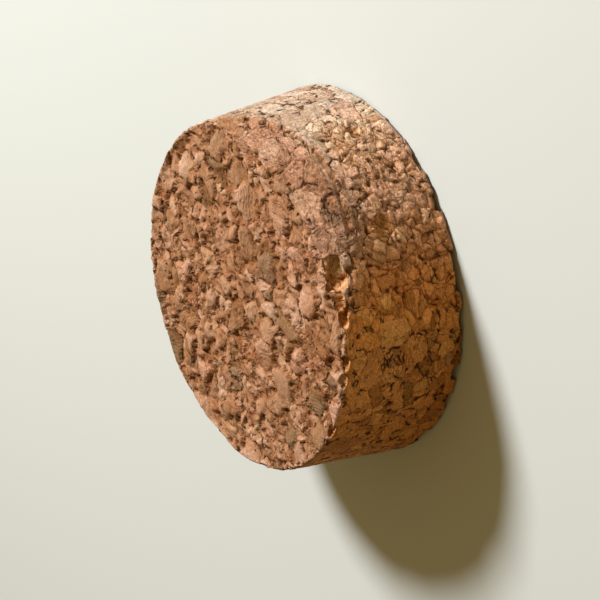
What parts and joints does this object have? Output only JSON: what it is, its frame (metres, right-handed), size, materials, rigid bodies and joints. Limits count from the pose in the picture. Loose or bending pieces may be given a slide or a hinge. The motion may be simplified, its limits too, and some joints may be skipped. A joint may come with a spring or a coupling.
{
  "type": "cork stopper",
  "caption": "Short, wide, tapered plug of bonded cork granules that closes a round jar neck, with a worn and chipped rim.",
  "frame": {"origin": "centre of the flat face of the large end, on the surface that the stopper stands on", "axes": "+Z along the stopper's axis from the large end to the small end; +X and +Y across it, with the rim's worn stretch towards -Y"},
  "size_m": [0.0698, 0.0698, 0.024],
  "materials": {
    "cork": "matte, granular, with thin dark gaps between the granules"
  },
  "bodies": {
    "root": {"stopper": "cork"}
  },
  "joints": []
}
